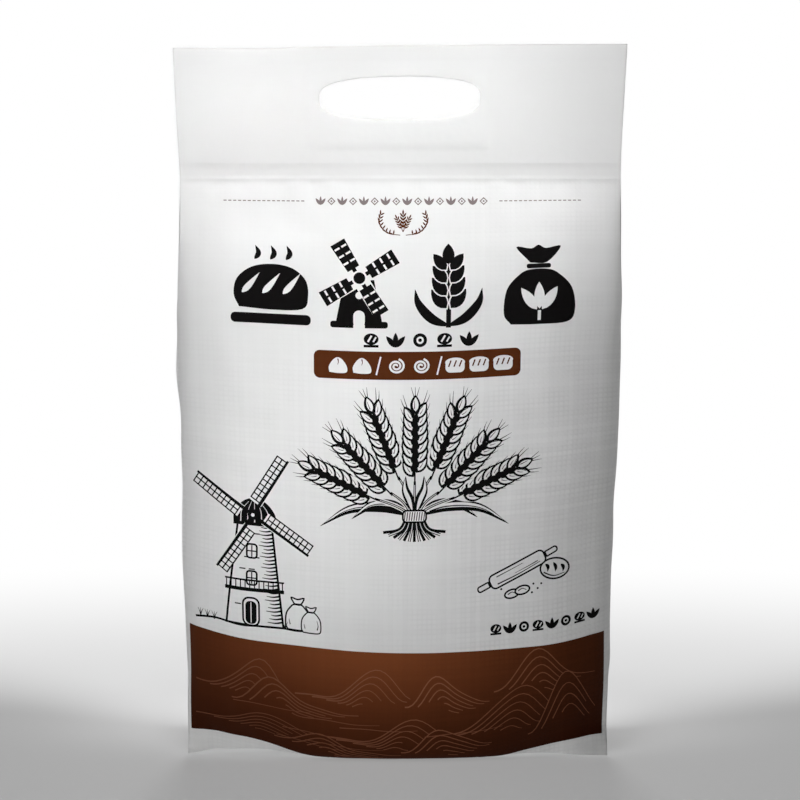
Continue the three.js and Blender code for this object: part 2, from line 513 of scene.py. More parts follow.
def film(name, stops, gloss=FILM_GLOSS, roughness=FILM_ROUGHNESS):
    """Matte film over woven tape. stops are the colours from the darkest tape to the palest."""
    nodes = Nodes(bpy.data.materials.new(name))
    flat = nodes.flat()
    x, v, _ = nodes.parts(flat)
    height, streaks, gaps = weave(nodes, x, v)
    # The weave hardly shows on the stiff welded hand band. On the body its tones and relief are painted
    # stronger on the right and low down, where the bag lies in shade, and weaker over the brightly lit
    # upper body: painted shade in the weave.
    shows = nodes.math("LESS_THAN", v, BODY_LENGTH) * (1 - BAND_WEAVE) + BAND_WEAVE
    shows = shows * nodes.between(x, (-0.010, 0.080), (0.50, 1.30))
    shows = shows * nodes.between(v, (0.170, 0.290), (1.0, 0.30))
    patchy = nodes.math("MULTIPLY", nodes.noise(flat, 60.0, 3.0) - 0.40, 4.0, clamp=True)
    tones = ((streaks - 0.5) * STREAKS + (gaps - 0.82) * (patchy * SEAMS)) * shows
    cloud = nodes.noise(flat, 14.0, 3.0) * CLOUDS
    crinkle = nodes.bump(nodes.noise(flat, 38.0, 3.0, 0.55), CRINKLE_DEPTH)
    inputs = {
        "Base Color": nodes.ramp(tones + 0.50 + cloud, stops),
        "Roughness": nodes.noise(flat, 260.0, 3.0, 0.6) * 0.12 + (roughness - 0.05),
        "IOR": 1.46,
        "Specular IOR Level": gloss,
        "Normal": nodes.bump(height * shows, WEAVE_DEPTH, Normal=crinkle),
    }
    nodes.feed(nodes.shader, inputs)
    return nodes


def ink(name, dark, pale):
    return film(name, [(0.1, dark), (0.9, pale)], INK_GLOSS, INK_ROUGHNESS).owner


def ink_with_painted_glow(name, dark, pale, centre, reach):
    """Ink with a painted glow and painted shade: paler round one place of the flat fabric and darker away
    from it, partly the print's own gradient.
    """
    nodes = film(name, [(0.1, (0.86, 0.86, 0.86)), (0.9, (1, 1, 1))], INK_GLOSS, INK_ROUGHNESS)
    woven = nodes.shader.inputs["Base Color"].links[0].from_socket
    x, v, _ = nodes.parts(nodes.flat())
    x, v = (x - centre[0]) / reach[0], (v - centre[1]) / reach[1]
    # painted glow: 1 at the centre, less towards the foot and the sides, where the ramp paints shade
    fall = nodes.math("DIVIDE", 1.0, x * x + v * v + 1.0)
    inputs = {"Factor": 1.0, "A": nodes.ramp(fall, [(0.15, dark), (1.0, pale)]), "B": woven}
    woven_with_painted_glow = nodes.add("ShaderNodeMix", inputs, data_type="RGBA", blend_type="MULTIPLY")
    nodes.feed(nodes.shader, {"Base Color": woven_with_painted_glow.outputs["Result"]})
    return nodes.owner


white_film = film("white_film", [(0.1, (0.770, 0.770, 0.765)), (0.95, (0.865, 0.865, 0.86))]).owner
black_ink = ink("black_ink", (0.0035, 0.0030, 0.0030), (0.0060, 0.0055, 0.0055))
brown_ink = ink("brown_ink", (0.078, 0.020, 0.006), (0.104, 0.029, 0.009))
# The brown band and its hill lines are painted palest round one place near their top and darkest towards
# the foot and the sides: a painted glow and painted shade over the print's own browns.
band_brown_painted_shade_to_glow = (0.030, 0.006, 0.002), (0.222, 0.064, 0.021)
hill_brown_painted_shade_to_glow = (0.105, 0.038, 0.020), (0.300, 0.112, 0.058)
band_ink_painted_glow = ink_with_painted_glow("band_ink_painted_glow", *band_brown_painted_shade_to_glow, (-0.012, 0.080), (0.090, 0.038))
hill_ink_painted_glow = ink_with_painted_glow("hill_ink_painted_glow", *hill_brown_painted_shade_to_glow, (0.020, 0.066), (0.120, 0.055))
grey_ink = ink("grey_ink", (0.205, 0.165, 0.165), (0.245, 0.205, 0.205))


# ---------------------------------------------------------------- the bag's mesh
def hole_outline(count):
    """The hand hole, once round from its left end, flatter along its long sides than an ellipse."""
    angle = np.linspace(0, 2 * np.pi, 4000)
    c, s = -np.cos(angle), np.sin(angle)
    x = HOLE_WIDTH / 2 * np.sign(c) * np.abs(c) ** (2 / 2.45)
    v = HOLE_HEIGHT / 2 * np.sign(s) * np.abs(s) ** (2 / 3.1)
    length = path_length(x, v)
    at = np.linspace(0, length[-1], count + 1)[:-1]
    return np.interp(at, length, x), np.interp(at, length, v) + HOLE_V


class BagMesh:
    """Gathers the bag's vertices and faces."""

    def __init__(self):
        self.points, self.flat, self.faces = [], [], []

    def add(self, points, flat):
        first = len(self.points)
        self.points.extend(points)
        self.flat.extend(flat)
        return np.arange(first, first + len(points))

    def quads(self, ids, flip=False):
        """Faces between the neighbours of a grid of vertex numbers."""
        a, b, c, d = ids[:-1, :-1], ids[1:, :-1], ids[1:, 1:], ids[:-1, 1:]
        found = np.stack([a, d, c, b] if flip else [a, b, c, d], -1).reshape(-1, 4)
        self.faces.extend(found[(found >= 0).all(1)])


def bag_piece():
    made = BagMesh()
    panels = []
    for face, grid in ((-1, FRONT), (1, BACK)):
        flat = np.stack(np.meshgrid(-face * U * PANEL_HALF, V, indexing="ij"), -1).reshape(-1, 2)
        ids = made.add(grid.reshape(-1, 3), flat).reshape(len(U), len(V))
        panels.append(ids)
    add_patch(made, panels)
    made.quads(panels[0])
    made.quads(panels[1], flip=True)
    add_gussets(made, panels)
    add_ends(made, panels)
    return mesh_piece("woven_bag", made.points, made.faces, made.flat, white_film)


def add_patch(made, panels):
    """The stiffening patch, in rings that pass from its straight edges to the hole."""
    left, right = np.searchsorted(U, [-PATCH_HALF / PANEL_HALF - 1e-6, PATCH_HALF / PANEL_HALF - 1e-6])
    low, high = np.searchsorted(V, [PATCH_LOW - 1e-6, PATCH_HIGH - 1e-6])
    rims = []
    for face, ids in zip((-1, 1), panels):
        outer = ring_of(ids, left, right, low, high)
        outer_flat = np.array([made.flat[k] for k in outer]) * (-face, 1)
        hole = np.stack(hole_outline(len(outer)), -1)
        start = np.argmin(np.abs(outer_flat[:, 1] - HOLE_V) + (outer_flat[:, 0] > 0))
        hole = np.roll(hole, start, axis=0)
        rings = [outer]
        for t in (0.22, 0.44, 0.64, 0.80, 0.91, 0.975, 1.0):
            onto = lerp(outer_flat, hole, t) * (-face, 1)
            inward = 0.00025 * max(0, (t - 0.93) / 0.07)
            rings.append(made.add(lay(onto, face, -inward), onto))
        rings = np.array(rings)
        rings = np.concatenate([rings, rings[:, :1]], 1)
        made.quads(rings, flip=face > 0)
        rims.append(rings[-1])
        ids[left + 1 : right, low + 1 : high] = -1
    made.quads(np.array(rims))


def add_gussets(made, panels):
    for side, grid in ((-1, LEFT), (1, RIGHT)):
        flat = np.zeros((len(THROUGH), len(V), 2))
        flat[..., 0] = (2 * PANEL_HALF + side * GUSSET / 2 * (1 + THROUGH))[:, None]
        flat[..., 1] = V
        inner = made.add(grid[1:-1].reshape(-1, 3), flat[1:-1].reshape(-1, 2))
        fold = 0 if side < 0 else -1
        ids = np.vstack([panels[0][fold], inner.reshape(-1, len(V)), panels[1][fold]])
        made.quads(ids, flip=side < 0)
        made.faces.append(ids[::-side, 0])
        made.faces.append(ids[::side, -1])


def add_ends(made, panels):
    """Where the fabric ends: a shallow groove between the sheets on top, and the seam at the foot."""
    front, back = panels[0][:, -1], panels[1][:, -1]
    groove = (FRONT[1:-1, -1] + BACK[1:-1, -1]) / 2 - (0, 0, GROOVE)
    inner = made.add(groove, [made.flat[k] for k in front[1:-1]])
    middle = np.concatenate([[-1], inner, [-1]])
    made.quads(np.array([front, middle]).T, flip=True)
    made.quads(np.array([middle, back]).T, flip=True)
    for end, step in ((0, 1), (-1, -1)):
        near = end + step
        corner = [front[end], front[near], middle[near], back[near], back[end]]
        made.faces.append(corner[::step])
    made.quads(np.array([panels[0][:, 0], panels[1][:, 0]]).T)


def ring_of(ids, left, right, low, high):
    """Vertex numbers round a rectangle of the grid, once, starting at its lower left corner."""
    up = ids[left, low:high]
    over = ids[left:right, high]
    down = ids[right, high:low:-1]
    back = ids[right:left:-1, low]
    return np.concatenate([up, over, down, back])


bag = bag_piece()
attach(bag, "root")
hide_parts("bag")


# ---------------------------------------------------------------- outlines, in millimetres
def ellipse(x, y, across, up, turn=0, count=24):
    """An ellipse from its half sizes."""
    t = np.linspace(0, 2 * np.pi, count, endpoint=False)
    return turned(np.stack([across * np.cos(t), up * np.sin(t)], -1), turn) + (x, y)


def box(x, y, width, height, turn=0):
    corners = np.array([(-width, -height), (width, -height), (width, height), (-width, height)]) / 2
    return turned(corners, turn) + (x, y)


def rounded_box(x, y, width, height, radius):
    t = np.linspace(0, np.pi / 2, 7)
    corner = radius * np.stack([np.cos(t), np.sin(t)], -1)
    places = ((1, 1, 0), (-1, 1, 90), (-1, -1, 180), (1, -1, 270))
    half = np.array([width / 2 - radius, height / 2 - radius])
    return np.concatenate([turned(corner, turn) + half * (sx, sy) for sx, sy, turn in places]) + (x, y)


def turned(points, degrees):
    """Points turned left about (0, 0)."""
    c, s = math.cos(math.radians(degrees)), math.sin(math.radians(degrees))
    return np.asarray(points, float) @ np.array([[c, s], [-s, c]])


def curve(points, steps=6):
    """A smooth line through a few points."""
    points = np.asarray(points, float)
    ends = np.concatenate([[2 * points[0] - points[1]], points, [2 * points[-1] - points[-2]]])
    t = np.linspace(0, 1, steps, endpoint=False)[:, None]
    parts = []
    for a, b, c, d in zip(ends[:-3], ends[1:-2], ends[2:-1], ends[3:]):
        parts.append(b + t / 2 * (c - a + t * (2 * a - 5 * b + 4 * c - d + t * (3 * b - a - 3 * c + d))))
    return np.concatenate(parts + [points[-1:]])


def even_outline(right, steps):
    """A smooth closed outline that is even about x = 0, from its right half's points from the foot up."""
    ring = right + [(-x, y) for x, y in reversed(right) if x]
    return curve([ring[-1]] + ring, steps)[:-1]


def ribbon(path, width, end_width=None):
    """The outline of a stroke along a path. It may narrow to its end, or have a width at each point."""
    path = np.asarray(path, float)
    along = np.gradient(path, axis=0)
    along /= np.linalg.norm(along, axis=1, keepdims=True)
    if end_width is not None:
        width = np.linspace(width, end_width, len(path))
    side = along[:, ::-1] * (-0.5, 0.5) * np.broadcast_to(width, len(path))[:, None]
    return np.concatenate([path + side, (path - side)[::-1]])


def blade(path, width):
    """A leaf along a path: pointed at both ends."""
    t = np.linspace(0.02, 0.99, len(path))
    return ribbon(path, width * np.sin(np.pi * t**0.8))


def grown(outline, by):
    """An outline that runs anticlockwise, moved outwards by a width."""
    before, after = outline - np.roll(outline, 1, 0), np.roll(outline, -1, 0) - outline
    before /= np.linalg.norm(before, axis=1, keepdims=True)
    after /= np.linalg.norm(after, axis=1, keepdims=True)
    out = (before + after)[:, ::-1] * (1, -1)
    out /= np.maximum(np.linalg.norm(out, axis=1, keepdims=True), 1e-9)
    spread = np.maximum((out * before[:, ::-1] * (1, -1)).sum(1), 0.35)
    return outline + by * out / spread[:, None]


def within(outline, spots):
    """Which spots lie inside an outline."""
    x, y = spots[:, :1], spots[:, 1:]
    (x0, y0), (x1, y1) = outline.T, np.roll(outline, -1, 0).T
    left = (x1 - x0) * (y - y0) > (x - x0) * (y1 - y0)
    rising = ((y0 <= y) & (y1 > y) & left).sum(1)
    falling = ((y0 > y) & (y1 <= y) & ~left).sum(1)
    return rising != falling


def finer(outline, longest):
    """The same outline with its long sides split, so that it can follow the bulging panel."""
    sides = list(zip(outline, np.roll(outline, -1, 0)))
    counts = [math.ceil(math.dist(a, b) / longest) for a, b in sides]
    shares = [np.linspace(0, 1, count + 1)[:-1, None] for count in counts]
    return np.concatenate([a + (b - a) * share for (a, b), share in zip(sides, shares)])


class Print:
    """One ink on one panel: outlines painted in turn, each of which inks or clears its inside."""

    def __init__(self, face, x=0.0, y=0.0, scale=1.0, turn=0.0, outlines=None):
        self.face, self.place, self.scale, self.angle = face, np.array([x, y], float), scale, turn
        self.outlines = [] if outlines is None else outlines

    def at(self, x, y, scale=1.0, turn=0.0):
        """The same print, drawn about another place."""
        place = self.place + turned([(x, y)], self.angle)[0] * self.scale
        return Print(self.face, *place, self.scale * scale, self.angle + turn, self.outlines)

    def ink(self, *outlines, printed=True):
        for outline in outlines:
            placed = turned(outline, self.angle) * self.scale + self.place
            self.outlines.append((finer(placed, 2.6), printed))

    def bare(self, *outlines):
        self.ink(*outlines, printed=False)

    def line(self, path, width, end_width=None):
        self.ink(ribbon(path, width, end_width))

    def drawn(self, outline, width):
        """A bare shape with an inked rim."""
        self.ink(grown(outline, width / 2))
        self.bare(grown(outline, -width / 2))

    def painted(self, spots):
        """Which spots end up printed."""
        state = np.zeros(len(spots), bool)
        for outline, printed in self.outlines:
            low, high = outline.min(0), outline.max(0)
            near = np.nonzero(((spots >= low) & (spots <= high)).all(1))[0]
            if len(near):
                state[near[within(outline, spots[near])]] = printed
        return state

    def piece(self, name, material, slot, lift=PRINT_LIFT):
        """The printed areas as one thin sheet on the panel, meshed along the fabric's own nodes."""
        nodes = np.stack(np.meshgrid(U * PANEL_HALF * 1000, V * 1000, indexing="ij"), -1).reshape(-1, 2)
        nodes = nodes[self.painted(nodes)]
        spots = np.concatenate([outline for outline, _ in self.outlines] + [nodes])
        edges, first = [], 0
        for outline, _ in self.outlines:
            count = len(outline)
            edges.extend((first + k, first + (k + 1) % count) for k in range(count))
            first += count
        made = geometry.delaunay_2d_cdt([Vector(spot) for spot in spots], edges, [], 0, 1e-4)
        places = np.array([tuple(place) for place in made[0]])
        faces = np.array(made[2])
        faces = faces[self.painted(places[faces].mean(1))]
        used, faces = np.unique(faces, return_inverse=True)
        flat = places[used] / 1000
        sheet = mesh_piece(name, lay(flat, self.face, lift), faces.reshape(-1, 3), flat, material)
        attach(sheet, "root")
        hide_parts("bag")


# ---------------------------------------------------------------- drawings
def grain(length, width):
    """One grain, from its foot at (0, 0) up to its tip."""
    t = np.linspace(0, 1, 8)
    half = width / 2 * np.sin(np.pi * t**0.85) ** 0.8
    y = length * t
    return np.concatenate([np.stack([half, y], -1), np.stack([-half, y], -1)[-2:0:-1]])


def engraved_ear(art):
    """An ear of wheat, about 50 high from its foot at (0, 0), as pen and ink."""
    rows = 7
    art.bare(blade(curve([(0, -2), (0, 22), (0, 5.2 * rows + 13)]), 18))
    for row in range(rows):
        y = 0.5 + 5 * row
        size = 1.04 - 0.035 * abs(row - 2)
        for side in (-1, 1):
            root = y + (0 if side < 0 else 2.4)
            for reach, width in ((0, 0.75), (2.2, 0.6)):
                bend = 6.6 - reach * 0.4, root + 9.5 + reach
                tip = 8.3 - reach * 0.6, root + 13.5 + reach
                art.line(curve([(3.6, root + 6), bend, tip], 4) * (side, 1), width, 0.12)
            seat = art.at(side * 0.7, root, size, -side * 31)
            seat.ink(grain(12.2, 6.8))
            seat.bare(grain(9, 3.7) + (side * 0.35, 1.7))
            seat.line(curve([(-0.9, 3.2), (-1.2, 6), (-0.5, 9)], 4) * (side, 1), 0.75, 0.25)
            seat.line(curve([(0.3, 3.6), (0.55, 5.4), (0.4, 7.2)], 4) * (side, 1), 0.5, 0.15)
    art.line([(0, -4), (0, 5 * rows)], 0.9)
    top = art.at(0, 5 * rows + 0.5)
    for bend in (-2.4, 0, 2.4):
        top.line(curve([(0, 7), (bend * 0.5, 11), (bend, 15)]), 0.6, 0.15)
    top.ink(grain(10.8, 6))
    top.bare(grain(7.8, 3.3) + (0.2, 1.6))
    top.line([(-0.4, 3), (-0.4, 7.5)], 0.5, 0.2)


def sheaf(art):
    """A tied sheaf of wheat, about 130 wide and 90 high, its tie at (0, 0)."""
    stems = []
    for k in range(-3, 4):
        lean = 21.5 * k
        reach = 26 if k % 2 else 21
        foot = turned([(0, reach - 0.8 * abs(k))], -lean)[0] + (0.9 * k, 0)
        middle = (foot[0] * 0.42, foot[1] * 0.55)
        stems.append((lean * 1.04, foot, curve([(-1.3 * k, -12), (0.75 * k, 0), middle, foot])))
    for k in (-3, -2, 2, 3):
        out = abs(k)
        leaf = curve([(1.2 * k, 1), (6 * k, 8 - out), (12 * k, 11 - 2.6 * out), (17.5 * k, 8 - 5 * out)])
        art.ink(blade(leaf, 5.8))
        art.bare(blade(leaf[1:-1] + (0, 0.5), 2.6))
        art.line(leaf[2:-3], 0.8, 0.3)
    for k in range(-6, 7):
        end = curve([(0.75 * k, 0), (1.4 * k, -7), (2.9 * k, -14 + 0.14 * k * k)])
        art.line(end, 1.25, 1.6)
        if k % 2:
            art.bare(ribbon(end[3:], 0.3, 0.6))
    for lean, foot, stem in sorted(stems, key=lambda s: -abs(s[0])):
        art.bare(ribbon(stem[6:], 2.6))
        art.line(stem[6:], 1.6, 1.2)
        art.bare(ribbon(stem[7:-2], 0.5, 0.3))
        engraved_ear(art.at(*foot, 0.96, -lean))
    for k in (-1, 1):
        leaf = curve([(0.6 * k, 2), (2.8 * k, 9), (5.2 * k, 15), (5 * k, 22)])
        art.ink(blade(leaf, 5.2))
        art.bare(blade(leaf[1:-1] + (0.3 * k, 0), 2.3))
    art.drawn(rounded_box(0, 0, 13, 6.4, 2.2), 1)
    for k in range(-4, 5):
        art.line([(1.35 * k - 0.3, -2.4), (1.35 * k + 0.3, 2.4)], 0.5)


def windmill(art):
    """A tower mill, about 68 wide and 98 high, as pen and ink, standing on (0, 0)."""
    tower = np.array([(-16, 0), (16, 0), (9.5, 56), (-9.5, 56)])
    ground = curve([(-34, -1.5), (-22, 0.5), (-8, -0.6), (10, 0.4), (24, -0.8), (34, 0.6)])
    art.line(ground, 1.2, 0.8)
    art.drawn(tower, 1.15)
    for row in range(9):  # the shaded side, hatched
        y = 3 + 6 * row
        edge = 16 - 6.5 * y / 56
        for k in range(3):
            h = y + 2 * k
            art.line(curve([(edge - 0.4, h), (edge - 4, h - 0.7), (edge - 8.5 + k, h - 0.4)], 3), 1.1, 0.3)
    for row in range(8):  # courses of brick
        y = 4.5 + 6.6 * row
        for k in range(-2, 1):
            x = 5.2 * k + (2.6 if row % 2 else 0) - 1.5
            if abs(x) < 12 - 6.5 * y / 56 and not (y < 20 and abs(x + 2) < 7):
                art.line([(x - 1.7, y), (x + 1.7, y)], 0.65)
    art.drawn(rounded_box(-2, 7.5, 9, 15, 3.4), 1)
    art.ink(rounded_box(-2, 7, 6.2, 12.4, 2.6))
    art.bare(box(-2, 7, 0.5, 11))
    for y in (26, 41):
        art.drawn(rounded_box(-1.5, y, 5.6, 7.6, 1.6), 1)
        art.line([(-1.5, y - 3.2), (-1.5, y + 3.2)], 0.65)
        art.line([(-3.8, y), (0.8, y)], 0.65)
    art.ink(box(0, 19.5, 33, 2))
    for k in range(-6, 7):
        art.line([(2.6 * k, 20), (2.6 * k, 24.4)], 0.6)
    art.line([(-16.5, 24.6), (16.5, 24.6)], 0.95)
    cap = curve([(11.5, 55.5), (11, 62), (6, 68), (0, 70), (-6, 68), (-11, 62), (-11.5, 55.5)])
    art.ink(grown(cap, 0.4))
    for k in range(-2, 3):
        art.bare(ribbon(curve([(3.9 * k, 57), (3.6 * k, 63), (1.6 * k, 68.3)], 4), 0.55, 0.2))
    sails(art.at(-1, 61, 1, 12))
    sack(art.at(24, 0, 0.42))
    sack(art.at(31.5, -1, 0.34))
    for x in (-31, -27, -23, 17):
        for bend in (-1.6, 0, 1.6):
            art.line(curve([(x, -0.6), (x + bend * 0.4, 1.8), (x + bend, 3.8)], 3), 0.55, 0.15)


def sails(art):
    reach = 37
    for turn in (45, 135, 225, 315):
        arm = art.at(0, 0, 1, turn)
        arm.bare(box(reach / 2 + 3, 2.4, reach - 7, 7.4))
        arm.line([(0, 0), (reach, 0)], 2, 1.3)
        for y in (3.1, 6.2):
            arm.line([(8, y), (reach - 0.8, y)], 0.75)
        for k in range(10):
            arm.line([(8 + 3.1 * k, 0), (8 + 3.1 * k, 6.5)], 0.68)
    art.ink(ellipse(0, 0, 2.9, 2.9))
    art.bare(ellipse(0, 0, 1, 1, count=12))


def sack(art):
    """A tied sack, 32 wide and 42 high, in outline."""
    art.drawn(even_outline([(0, -0.8), (13, 0), (16, 6), (15, 20), (9, 29), (4, 32.5)], 4), 2)
    art.drawn(even_outline([(4, 32.5), (8.5, 41), (0, 39)], 4), 2)
    art.line([(-5.5, 32.5), (5.5, 32.5)], 2.6)
    art.line(curve([(10, 5), (11.5, 12), (9.5, 20)]), 1.8, 0.6)
    art.line(curve([(-10, 6), (-11.5, 13)]), 1.4, 0.5)


def bakery(art):
    """A rolling pin, a scored bun and two slices, about 50 by 24, in outline."""
    pin = art.at(-2, 3, 1, 24)
    for side in (-1, 1):
        pin.drawn(rounded_box(side * 20.3, 0, 7.5, 3, 1.3), 0.85)
        pin.line([(side * 17.2, -1.6), (side * 17.2, 1.6)], 1.1)
    pin.drawn(rounded_box(0, 0, 33, 7.8, 2.7), 0.95)
    pin.line(curve([(-13, -2), (0, -2.4), (13, -2)]), 0.75, 0.35)
    pin.line(curve([(12, -1), (5, -1.1), (-2, -1)]), 0.55, 0.2)
    pin.line([(-12, 1.9), (4, 1.9)], 0.55, 0.25)
    bun = art.at(19, 1.5, 1, -8)
    bun.drawn(ellipse(0, 0, 8.2, 5.7), 0.95)
    for k in (-1, 0, 1):
        cut = curve([(4.4 * k - 1.2, 3.2 - abs(k)), (4.4 * k + 0.5, 0.7), (4.4 * k + 0.6, -2)], 4)
        bun.ink(blade(cut, 1.9))
    bun.line(curve([(-6, -2.4), (0, -4.1), (6, -2.4)]), 0.75, 0.35)
    for x, y in ((-5, -10), (0.8, -8.4)):
        art.drawn(ellipse(x, y, 4.1, 2.3, 12), 0.95)
        art.line(curve([(x - 2.3, y - 0.3), (x, y + 0.9), (x + 2.3, y - 0.1)], 4), 0.6, 0.3)
    for x, y in ((7, -5.5), (9.4, -8.2), (6.2, -10.2), (11.4, -5.8), (-11, -7)):
        art.ink(ellipse(x, y, 0.6, 0.6, count=8))


# The four bold pictures of the title, each about 42 by 44 with its foot at y 0.
def bold_loaf(art):
    loaf = even_outline([(0, 8), (17, 9), (20, 16), (18.5, 25), (11, 31.5), (0, 33.5)], 5)
    art.ink(loaf, rounded_box(0, 3, 43, 5.6, 2.4))
    for k in (-1, 0, 1):
        art.bare(blade(curve([(11 * k - 4.5, 17), (11 * k - 1, 21), (11 * k + 4.6, 28.5)]), 3.4))
    for k in (-1, 0, 1):
        art.ink(blade(curve([(8.5 * k - 0.8, 36), (8.5 * k + 1.2, 39.5), (8.5 * k - 0.6, 44)]), 3))


def bold_mill(art):
    art.ink(np.array([(-13, 0), (13, 0), (8, 26), (-8, 26)]), rounded_box(0, 1.6, 31, 3.6, 1.4))
    art.bare(rounded_box(0, 4.6, 6.2, 9.4, 3))
    art.bare(box(0, 0.4, 6.2, 2.4))
    art.bare(ellipse(0, 17.5, 2, 2))
    hub = art.at(0, 27)
    for turn in (32, 122, 212, 302):
        arm = hub.at(0, 0, 1, turn)
        arm.bare(box(12, 0, 22, 8.6))
        arm.line([(0, 0), (22, 0)], 2.2)
        arm.ink(np.array([(6, -3.6), (23, -4.4), (23, 4.4), (6, 3.6)]))
        for k in range(3):
            arm.bare(box(10.5 + 4.6 * k, 2.1, 1.1, 3), box(10.5 + 4.6 * k, -2.1, 1.1, 3))
    hub.bare(ellipse(0, 0, 4.2, 4.2))
    hub.ink(ellipse(0, 0, 3.2, 3.2))


def bold_ear(art):
    art.line([(0, 0), (0, 38)], 2.6)
    for side in (-1, 1):
        art.ink(blade(curve([(0, 1), (9, 5), (16, 13), (18, 21)]) * (side, 1), 5.2))
        for row in range(4):
            seat = art.at(side * 1.2, 10.5 + 7 * row, 1 - 0.05 * row, -side * 38)
            seat.bare(grown(grain(13.2, 7), 0.7))
            seat.ink(grain(13.2, 7))
    art.ink(grain(11.5, 6.6) + (0, 34.5))


def bold_sack(art):
    art.ink(even_outline([(0, -0.6), (15, 0), (19, 6), (17.5, 19), (11, 27), (5, 30)], 5))
    art.ink(even_outline([(4.5, 34), (12, 43), (4, 42), (0, 44)], 4))
    art.ink(rounded_box(0, 32, 13, 2.6, 1.1))
    for turn in (-34, 0, 34):
        art.at(0, 5.5, 1, turn).bare(grain(15, 5.6) + (0, 2.4))
    art.bare(ribbon([(0, 1.6), (0, 7)], 1.7))


def title(art):
    for x, picture in zip((-69, -21.5, 26.5, 75), (bold_loaf, bold_mill, bold_ear, bold_sack)):
        picture(art.at(x, 253))


def small_signs(art, x, y, count, pitch, size):
    """A row of small bold baker's signs."""
    for k in range(count):
        seat = art.at(x + pitch * k, y, size)
        if k % 3 == 0:
            seat.ink(ellipse(0, 0.4, 3.2, 2.5), box(0, -2.6, 6.4, 1.1))
            seat.bare(ribbon([(-1.4, -0.8), (0.2, 1.9)], 0.8), ribbon([(0.9, -0.8), (2.1, 1.3)], 0.7))
        elif k % 3 == 1:
            for turn in (-40, 0, 40):
                seat.at(0, -3.1, 1, turn).ink(grain(6.4, 2.4))
        else:
            seat.ink(ellipse(0, 0, 3, 3))
            seat.bare(ellipse(0, 0, 1.6, 1.6))
            seat.ink(ellipse(0, 0, 0.8, 0.8, count=12))


def dashes(art, y):
    for start, end in ((-96, -52), (54, 97)):
        for x in np.arange(start, end, 2.65):
            art.ink(box(x + 0.85, y, 1.7, 0.55))


def fine_row(art, y):
    """The row of small marks between the dashed lines."""
    for k in range(16):
        x = -43 + 5.9 * k
        if k % 2:
            art.drawn(box(x, y, 2.6, 2.6, 45), 0.55)
            art.ink(ellipse(x, y, 0.55, 0.55, count=10))
        else:
            for turn in (-36, 36):
                art.at(x, y - 2.1, 1, turn).ink(grain(4.6, 1.6))
            art.at(x, y - 2.1).ink(grain(4.9, 1.3))


def emblem(art):
    """Three ears in an open ring, 28 wide and 15 high."""
    for side in (-1, 1):
        branch = curve([(1.5, -7.2), (8.5, -6), (12.6, -1), (12.2, 5)]) * (side, 1)
        art.line(branch, 0.42, 0.28)
        for k, (x, y) in enumerate(branch[3:-1:2]):
            art.at(x, y, 1, -side * (68 - 10 * k)).ink(grain(2.9, 0.85))
            art.at(x, y, 1, side * (8 + 8 * k)).ink(grain(2.6, 0.8))
    for turn, tall in ((-24, 0.85), (24, 0.85), (0, 1)):
        ear = art.at(0, -5.5, tall, turn)
        ear.line([(0, 0), (0, 9)], 0.35)
        for row in range(4):
            for side in (-1, 1):
                ear.at(0, 2.6 + 1.9 * row, 1, -side * 36).ink(grain(3, 0.95))
        ear.ink(grain(3.2, 0.95) + (0, 9.4))


def pill(art):
    """A rounded brown label with buns, rolls and loaves left bare, and slanted bars between them."""
    art.ink(rounded_box(10, 232.8, 112, 15, 3.2))
    for x in (-33, -20):
        bun = art.at(x, 232.4)
        bun.bare(even_outline([(0, -4.1), (4.6, -3.6), (4.9, -0.6), (2.6, 3), (0, 4.4)], 4))
        bun.line(curve([(0, 3.6), (0.3, 1.8), (-0.2, 0.4)], 3), 0.6, 0.2)
    for x in (-1.5, 12):
        roll = art.at(x, 232.6)
        t = np.linspace(0, 4.4 * np.pi, 40)
        spiral = np.stack([(0.5 + 0.29 * t) * np.cos(t), (0.45 + 0.255 * t) * np.sin(t)], -1)
        roll.bare(ribbon(spiral, 1.15))
    for x in (30.5, 43.5, 56.5):
        loaf = art.at(x, 232.6)
        loaf.bare(rounded_box(0, -0.6, 10.4, 6.6, 2.6), ellipse(0, 1.6, 5.4, 2.5))
        for k in (-1, 0, 1):
            loaf.line([(2.9 * k - 0.6, -0.8), (2.9 * k + 0.7, 2.6)], 0.75)
    for x in (-11, 22):
        art.bare(ribbon([(x - 1.2, 227.8), (x + 1.2, 237.6)], 0.9))


def hem_line(x, height):
    """The edge of a printed band, set straight on the flat fabric but for its slight slant."""
    return np.stack([x, height - 0.018 * x], -1)


BAND_X = np.linspace(-118, 117, 60)


def band(art):
    art.ink(np.concatenate([hem_line(BAND_X, 14), hem_line(BAND_X[::-1], 77.5)]))


# Each ridge's middle, half width, height and how far its top leans aside, from the far ones to the near.
RIDGES = (
    (-92, 60, 34, 20, 0.5), (-24, 61, 34, 16, 0.45), (-58, 52, 36, 15, -0.45), (30, 57, 26, 15, -0.3),
    (84, 64, 30, 20, -0.2), (60, 45, 38, 22, 0.3), (101, 42, 27, 36, -0.25), (-6, 37, 40, 12, 0.5),
    (30, 31, 28, 12, -0.2), (-80, 33, 38, 9, 0.2), (-34, 27, 36, 8, -0.3),
)


